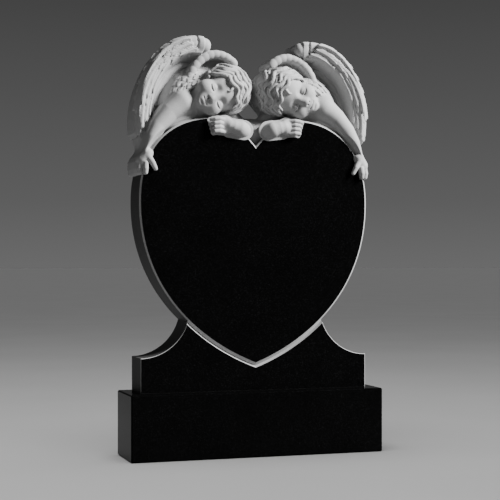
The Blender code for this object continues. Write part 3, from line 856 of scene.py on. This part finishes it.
# Feathers: how many of each, the step between layers, the depth of a free blade, and the marks on its vanes
THROUGH_TIPS = 5
UPPER_TIPS = 4
SECONDARIES = 3
RIDGE_ROWS = 6
INNER_ROWS = 7
INNER_ACROSS = 4
LAYER = 3.0
BLADE = 9.0
TILT = 1.5
QUILL = 1.2
FRAY_PITCH = 7.5
SLIT_PITCH = 21.0
SLIT_HALF_WIDTH = 2.0
BARB_PITCH = 6.0

# Bend of the wing: a thick round limb that ends in a smooth knob, with the edges of two plates across it
BEND = (0.872, 0.915, -8, 32)
BEND_BACK = (30.0, 23.0)
BEND_RADIUS = (18.5, 9.0)
PLATES = (0.20, 0.52)
PLATE_SWEEP = np.radians(np.linspace(-75, 75, 9))


def wing_place(share, angle):
    """A place on the wing, at a share of its ellipse and an angle from upright, outward."""
    return np.array(
        [
            WING_MIDDLE[0] + WING_RADII[0] * share * math.sin(angle),
            WING_MIDDLE[1] + WING_RADII[1] * share * math.cos(angle),
        ]
    )


def eased(at, knots, values):
    """Values between knots, level at each knot."""
    at = np.clip(at, knots[0], knots[-1])
    found = np.full(at.shape, values[-1], np.float32)
    for a, b, low, high in zip(knots, knots[1:], values, values[1:]):
        t = (at - a) / (b - a)
        inside = (t >= 0) & (t < 1)
        t = t * t * (3 - 2 * t)
        found[inside] = (low + (high - low) * t)[inside]
    return found


def beside(path, out, up):
    """How far along a path each point is, how far to its left, and the path's length."""
    nearest = np.full(np.broadcast(out, up).shape, np.inf)
    along, beside_it = np.zeros(nearest.shape), np.zeros(nearest.shape)
    run = 0.0
    for a, b in zip(path, path[1:]):
        ahead = b - a
        length = math.hypot(*ahead)
        share = np.clip(((out - a[0]) * ahead[0] + (up - a[1]) * ahead[1]) / length**2, 0, 1)
        gap = np.hypot(out - a[0] - share * ahead[0], up - a[1] - share * ahead[1])
        side = np.sign(ahead[0] * (up - a[1]) - ahead[1] * (out - a[0]))
        closer = gap < nearest
        nearest = np.where(closer, gap, nearest)
        along = np.where(closer, run + share * length, along)
        beside_it = np.where(closer, side * gap, beside_it)
        run += length
    return along, beside_it, run


class Plumage:
    """A wing's front as its depth over a grid seen from the front, with the outline it is cut to."""

    def __init__(self, clay):
        out, _, up = clay.everywhere()
        self.out, self.up = out[:, 0, :], up[:, 0, :]
        across = (self.out - WING_MIDDLE[0]) / WING_RADII[0]
        rise = (self.up - WING_MIDDLE[1]) / WING_RADII[1]
        self.share = np.hypot(across, rise)
        self.angle = np.degrees(np.arctan2(across, rise))
        tail = np.clip((self.angle - 70) / 35, 0, 1)
        below = np.clip((self.angle - 104) / 10, 0, 1)
        self.base = eased(self.share, SECTION_AT, SECTION_BACK) + 10 * tail * tail + 34 * below
        self.front = self.base.copy()
        rim = (self.share - RIM) * 180
        foot = np.radians(BEND[2] + 2 - self.angle) * 160
        self.outline = np.maximum(np.maximum(rim, foot), WING_FOOT - self.up)
        self.fringe = np.full(self.outline.shape, FAR)

    def feather(
        self, path, half_width, layer, tip=1.4, fray=0.0, barb=0.4, rise=3.0, crown=2.2, through=False
    ):
        """A blade along a path, over what lies below it; its tip lifts, and its vanes may part and fray.
        One that goes through shapes the stone behind it too, and any other only overhangs the rim."""
        along, beside_it, length = beside(path, self.out, self.up)
        comb = np.sin(2 * np.pi * beside_it / FRAY_PITCH + 2.3 * layer)
        reach = length - fray * (0.5 + 0.5 * comb)
        tip_length = tip * half_width
        root = np.clip(0.6 + along / (0.35 * length), 0, 1)
        end = np.clip((along - reach + tip_length) / tip_length, 0, 1)
        width = np.maximum(half_width * root * np.sqrt(1 - end**2), 1e-3)
        across = beside_it / width
        quill = QUILL * np.exp(-((beside_it / 1.6) ** 2))
        slant = along - 1.3 * np.abs(beside_it)
        barbs = barb * np.sin(2 * np.pi * slant / BARB_PITCH) * np.clip(np.abs(beside_it) / 3, 0, 1)
        from_slit = np.abs(np.mod(slant / SLIT_PITCH + 0.31 * layer, 1) - 0.5) * SLIT_PITCH
        vane = np.clip(2.5 * np.abs(across) - 0.7, 0, 1)
        slit = 0.32 * fray * np.clip(1 - from_slit / SLIT_HALF_WIDTH, 0, 1) * vane
        body = layer * LAYER + rise * along / length + crown * (1 - across**2) + TILT * across
        raised = np.minimum(self.front, self.base - (body + quill + barbs - slit))
        self.front = np.where(np.abs(across) < 1, raised, self.front)
        edge = np.where(width > 0.5, np.abs(beside_it) - width, FAR)
        if through:
            self.outline = np.minimum(self.outline, edge)
        else:
            self.fringe = np.minimum(self.fringe, edge)

    def carve(self, clay):
        """Adds the wing to the clay, through to the back of the stone."""
        back = clay.everywhere()[1]
        slope = np.hypot(*np.gradient(self.front, clay.step))
        flat = 1 / np.sqrt(1 + np.minimum(slope, 2.0) ** 2)
        front = (self.front[:, None, :] - back) * flat[:, None, :]
        blade = np.maximum(self.fringe[:, None, :], back - self.front[:, None, :] - BLADE)
        distance = np.maximum(front, np.minimum(self.outline[:, None, :], blade))
        clay.field = soft_min(clay.field, distance.astype(np.float32), 1.5)


def arc(share_from, share_to, start, end, count=9):
    """A path that follows the wing's ellipses, between two angles in degrees."""
    return [
        wing_place(share_from + (share_to - share_from) * t, math.radians(start + (end - start) * t))
        for t in np.linspace(0, 1, count)
    ]


def carve_bend(clay):
    """The bend of the wing, with the edges of its plates cut across it."""
    path = np.array(arc(*BEND))
    share = np.linspace(0, 1, len(path))[:, None]
    back = BEND_BACK[0] + share * (BEND_BACK[1] - BEND_BACK[0])
    radius = BEND_RADIUS[0] + share * (BEND_RADIUS[1] - BEND_RADIUS[0])
    clay.limb(np.concatenate([path[:, :1], back, path[:, 1:], radius], axis=1), soft=9, wall=True)
    for plate in PLATES:
        i = round(plate * (len(path) - 1))
        ahead = (path[i + 1] - path[i]) / np.linalg.norm(path[i + 1] - path[i])
        inward = np.array([ahead[1], -ahead[0]])
        across = []
        for turn in PLATE_SWEEP:
            middle = path[i] + inward * (radius[i] + 2) * math.sin(turn) - ahead * 6 * math.cos(turn)
            across.append((middle[0], back[i, 0] - (radius[i, 0] + 2.4) * math.cos(turn), middle[1], 3.4))
        clay.limb(across, soft=1, cut=True)


def lay_tips(wing):
    """The long feathers at the wing's end, and the smooth ones in its hollow."""
    for i in range(THROUGH_TIPS):
        path = arc(0.90 - 0.07 * i, 0.985 - 0.075 * i, 54, 107 - 4.5 * i)
        wing.feather(path, 8, 1.3 - 0.25 * i, fray=6, crown=3.6, through=True)
    for i in range(UPPER_TIPS):
        path = arc(0.93 - 0.065 * i, 0.99 - 0.078 * i, 42 - 2 * i, 90 - 6 * i)
        wing.feather(path, 8, 2.1 - 0.25 * i, fray=6, crown=3.4)
    for i in range(SECONDARIES):
        path = arc(0.71 - 0.08 * i, 0.72 - 0.10 * i, 10 - 3 * i, 84 - 5 * i)
        wing.feather(path, 11, 0.2 + 0.3 * i, barb=0.2, crown=3)


def lay_ridge(wing):
    """Rows of three frayed feathers along the ridge, from the wing's end up to the bend."""
    for row in range(RIDGE_ROWS):
        start = 70 - 10.5 * row
        jut = 0.05 * math.sin(math.radians(start))
        sway = 3 * math.sin(2.4 * row)
        layer = 0.8 + 0.22 * row
        inner = arc(0.80, 0.735 + 0.03 * (row % 2), start - 14 + sway, start + 8 + sway)
        middle = arc(0.86, 0.825, start - 10, start + 14 - sway)
        outer = arc(0.925, 0.94 + jut, start - 10 - sway, start + 12)
        wing.feather(inner, 8, layer, fray=6)
        wing.feather(middle, 9, layer + 0.35, fray=6, crown=3)
        wing.feather(outer, 9, layer + 0.7, fray=7, crown=3)


def lay_scales(wing):
    """Short overlapping feathers on the inner edge."""
    for row in range(INNER_ROWS):
        for i in range(INNER_ACROSS):
            start = 58 - 13 * row - 6 * (i % 2)
            share = 0.53 - 0.06 * i + 0.014 * row
            path = arc(share, share - 0.035, start - 14, start + 17)
            wing.feather(path, 8.5, 0.5 + 0.35 * row, fray=3, rise=4)


def carve_wing(clay):
    """The wing with all its feathers, its bend, and the stone behind the head."""
    wing = Plumage(clay)
    lay_tips(wing)
    lay_ridge(wing)
    lay_scales(wing)
    wing.carve(clay)
    carve_bend(clay)
    clay.ball(*BEHIND_HEAD, soft=6, wall=True)


# Roll along the shoulder of the wing, an arc over the head
ROLL_MIDDLE = (97.0, 146.0)
ROLL_RADII = (74.0, 93.0)
ROLL_THICKNESS = 23.0
ROLL_BACK = 30
ROLL_START = -40
ROLL_SWEEP = 138
ROLL_LUMPS = 12
LUMP_STEPS = 10
LUMP = 2.0


def carve_roll(clay):
    """The plump roll that frames the head, gathered into lumps."""
    points = []
    for t in np.linspace(0, 1, LUMP_STEPS * ROLL_LUMPS + 1):
        angle = math.radians(ROLL_START + ROLL_SWEEP * t)
        out = ROLL_MIDDLE[0] + ROLL_RADII[0] * math.sin(angle)
        up = ROLL_MIDDLE[1] + ROLL_RADII[1] * math.cos(angle)
        swell = LUMP * (abs(math.sin(math.pi * ROLL_LUMPS * t)) ** 0.5 - 1)
        points.append((out, ROLL_BACK, up, ROLL_THICKNESS / 2 + swell))
    clay.limb(points, soft=1.5, wall=True)


# Where the carving meets the polished face: how far it stays behind it, the points at the heart's tip
# that it never comes near, and the ledge round the hands
TUCK = 1.2
PAST_TIP = 8
LEDGE_WIDTH = 3.2
LEDGE_HEIGHT = 1.2
LEDGE_ROOT = 3


def cut_groove(clay):
    """Clears the carving from the polished heart and from the groove around it."""
    heart = right_half_heart(GROOVE_STEPS)
    path = (heart - (0, NOTCH_HEIGHT)) / MILLIMETRE
    out, back, up = clay.everywhere()
    _, inward, _ = beside(path[PAST_TIP:], out[:, 0, :], up[:, 0, :])
    gap = -inward
    depth = GROOVE_DEPTH / MILLIMETRE
    outer = GROOVE_OUTER / MILLIMETRE
    steep = math.hypot(1, depth / outer)
    behind_slope = (np.clip(gap, 0, depth)[:, None, :] + TUCK - back) / math.hypot(1, 1)
    behind_face = TUCK - back
    outside = ((depth + outer - gap) * depth / outer)[:, None, :] - back
    limit = np.where((gap < 0)[:, None, :], behind_face, behind_slope)
    limit = np.where((gap > depth)[:, None, :], outside / steep, limit)
    clay.field = -soft_min(-clay.field, -limit.astype(np.float32), 2.5)


def add_ledge(clay, part):
    """The narrow matte ledge left on the polished face round a carved part."""
    back = clay.everywhere()[1]
    shadow = part.field.min(axis=1)[:, None, :] - LEDGE_WIDTH
    plate = np.maximum(shadow, np.maximum(-LEDGE_HEIGHT - back, back - LEDGE_ROOT))
    clay.field = soft_min(clay.field, plate.astype(np.float32), 0)


# Boxes of clay that hold a cherub and the saddle, up to the back of the stone
CHERUB_BOX = ((2, -46, -84), (326, BACK + 6, 300))
SADDLE_BOX = ((-70, -20, -70), (70, BACK + 6, 110))
SADDLE_BODY = ((0, 62, 30), (66, 46, 52))
SADDLE_TOP = ((-60, 46, 66, 18), (0, 48, 58, 17), (60, 46, 66, 18))


def cherub():
    """One cherub in clay, with its wing, ready to mesh."""
    clay = Clay(*CHERUB_BOX, VOXEL)
    carve_wing(clay)
    carve_roll(clay)
    carve_torso(clay)
    carve_bed(clay)
    cut_groove(clay)
    carve_skull(clay)
    carve_face(clay)
    carve_hair(clay)
    carve_locks(clay)
    carve_curls(clay)
    hands = clay.empty()
    carve_inner_arm(hands)
    add_ledge(clay, hands)
    clay.field = soft_min(clay.field, hands.field, 1.0)
    carve_outer_hand(clay)
    clay.cut_back()
    return clay


def place_carving(name, clay, material, triangles=None):
    """A carving meshed and set on the stone, thinned where it is flat to a number of triangles."""
    points, quads = clay.mesh()
    places = points * MILLIMETRE + (0, STELE_FACE, NOTCH_HEIGHT)
    made = add_object(name, places, quads.tolist(), [material])
    if triangles:
        thinned = made.modifiers.new("thinned", "DECIMATE")
        thinned.ratio = triangles / (2 * len(quads))
        bake(made)
    made.data.shade_smooth()
    return made


def mirrored(name, source):
    """The same carving on the other side of the stone."""
    made = bpy.data.objects.new(name, source.data.copy())
    bpy.context.scene.collection.objects.link(made)
    places = np.empty(3 * len(made.data.vertices), np.float32)
    made.data.vertices.foreach_get("co", places)
    places[0::3] *= -1
    made.data.vertices.foreach_set("co", places)
    made.data.flip_normals()
    return made


def make_saddle(honed):
    """The stone between the two cherubs, sloping down to the notch."""
    clay = Clay(*SADDLE_BOX, SADDLE_VOXEL)
    clay.ball(*SADDLE_BODY, wall=True)
    clay.limb(SADDLE_TOP, soft=10, wall=True)
    clay.cut_back()
    hand_over(place_carving("saddle", clay, honed))


def make_cherubs(honed):
    """The two cherubs, mirror images."""
    right = place_carving("cherub_right", cherub(), honed, CHERUB_TRIANGLES)
    left = mirrored("cherub_left", right)
    for piece in (left, right):
        hand_over(piece)


# Stage, in metres: the floor's half width, and the sky's greys from eye height up to overhead
FLOOR_REACH = 150.0
SKY = ((0.0, 0.145), (0.05, 0.114), (0.2, 0.064), (0.4, 0.04), (1.0, 0.1))

# Lights: where each is and what it points at
KEY_PLACE = (3.6, -2.15, 3.3)
KEY_TARGET = (0, 0, 0.85)
FLOOR_LIGHT_PLACE = (-0.4, -0.9, 4.0)
FLOOR_LIGHT_TARGET = (-0.4, -0.9, 0)
WASH_PLACE = (0, 0, 5.0)
WASH_TARGET = (0, 0, 0)
WASH_SPREAD = math.radians(70)

# Camera, as it follows from the pedestal's edges in the photograph
CAMERA_PLACE = (-1.0221, -3.1306, 0.4856)
CAMERA_HEADING = math.radians(-18.035)
CAMERA_LENS = 92.15
CAMERA_SENSOR = 36
CAMERA_SHIFT = 0.0285


def make_floor():
    """A wide pale floor."""
    corners = [
        (-FLOOR_REACH, -FLOOR_REACH, 0),
        (FLOOR_REACH, -FLOOR_REACH, 0),
        (FLOOR_REACH, FLOOR_REACH, 0),
        (-FLOOR_REACH, FLOOR_REACH, 0),
    ]
    floor = add_object("floor", corners, [[0, 1, 2, 3]], [floor_material()])
    return floor


def make_world():
    """Soft surroundings: as bright as the far floor at eye height, dim above it, brighter overhead."""
    world = bpy.data.worlds.new("studio")
    bpy.context.scene.world = world
    world.use_nodes = True
    tree = world.node_tree
    add = node_adder(tree)
    direction = add("ShaderNodeTexCoord").outputs["Generated"]
    height = add("ShaderNodeSeparateXYZ", Vector=direction).outputs["Z"]
    tone = ramp(add, height, [(place, grey(level)) for place, level in SKY])
    tree.links.new(tone, tree.nodes["Background"].inputs["Color"])


def add_light(name, kind, place, target, size, power, floor, lights_floor):
    """A soft light, square or as wide as a sun's angle, on the floor alone or on all but the floor."""
    lamp = bpy.data.lights.new(name, kind)
    if kind == "SUN":
        lamp.angle = size
    else:
        lamp.size = size
    lamp.energy = power
    made = bpy.data.objects.new(name, lamp)
    bpy.context.scene.collection.objects.link(made)
    made.location = place
    made.rotation_euler = (Vector(target) - Vector(place)).to_track_quat("-Z", "Y").to_euler()
    lit = bpy.data.collections.new(name + "_on")
    lit.objects.link(floor)
    made.light_linking.receiver_collection = lit
    lit.collection_objects[0].light_linking.link_state = "INCLUDE" if lights_floor else "EXCLUDE"


def make_lights(floor):
    """A key on the stone from the right and above, and two soft lights over the floor, near and far."""
    add_light("key", "AREA", KEY_PLACE, KEY_TARGET, 1.3, 1200, floor, False)
    add_light("floor_light", "AREA", FLOOR_LIGHT_PLACE, FLOOR_LIGHT_TARGET, 3.0, 125, floor, True)
    add_light("floor_wash", "SUN", WASH_PLACE, WASH_TARGET, WASH_SPREAD, 0.58, floor, True)


def make_camera():
    """The photograph's view: level, from the left and from just below the stone's middle."""
    camera = bpy.data.objects.new("camera", bpy.data.cameras.new("camera"))
    bpy.context.scene.collection.objects.link(camera)
    camera.location = CAMERA_PLACE
    camera.rotation_euler = (math.radians(90), 0, CAMERA_HEADING)
    camera.data.sensor_width = CAMERA_SENSOR
    camera.data.lens = CAMERA_LENS
    camera.data.shift_y = CAMERA_SHIFT
    bpy.context.scene.camera = camera


def main():
    """Sets the stage and dresses the stone."""
    make_camera()
    make_lights(make_floor())
    make_world()
    polished = polished_granite()
    honed = matte_granite("honed_granite", 0.31, 0.36)
    # Dark grey for the side walls: painted shade, darker than the honed carving.
    shaded_side = matte_granite("side_granite_painted_shade", 0.035, 0.05)
    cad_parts["pedestal"].data.materials[0] = polished
    make_slab(polished, honed, shaded_side)
    make_saddle(honed)
    make_cherubs(honed)


main()
